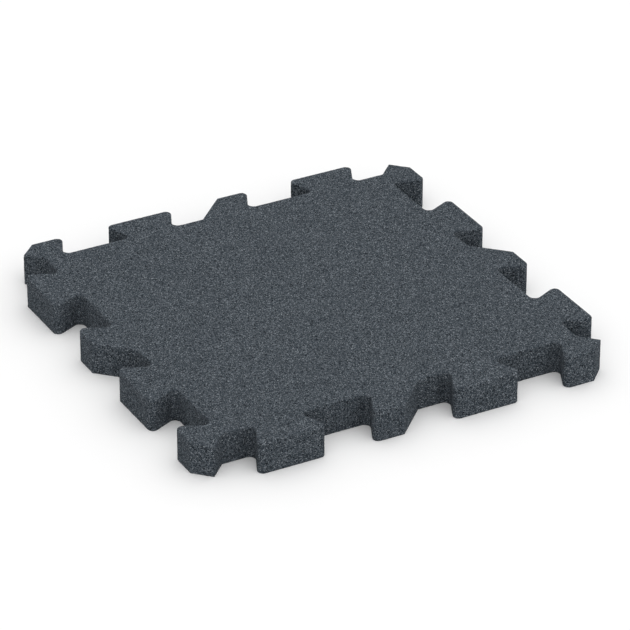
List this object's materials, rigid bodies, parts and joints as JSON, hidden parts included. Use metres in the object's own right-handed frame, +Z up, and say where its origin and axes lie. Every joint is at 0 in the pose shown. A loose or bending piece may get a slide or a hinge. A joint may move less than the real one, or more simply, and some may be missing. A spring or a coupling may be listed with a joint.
{
  "type": "interlocking rubber gym mat",
  "caption": "Square slab of pressed rubber crumb with dovetail teeth and notches along its sides, which lock like mats into a gym floor.",
  "frame": {"origin": "centre of the underside, on the floor", "axes": "+Z is up, square to the training surface; X and Y run along the sides, with the front side at -Y"},
  "size_m": [0.5396, 0.5396, 0.04],
  "materials": {
    "rubber_crumb": "matt pressed rubber crumb of about 1 mm, dark blue-grey with lighter and darker grains"
  },
  "bodies": {
    "root": {"gym_mat": "rubber_crumb"}
  },
  "joints": []
}
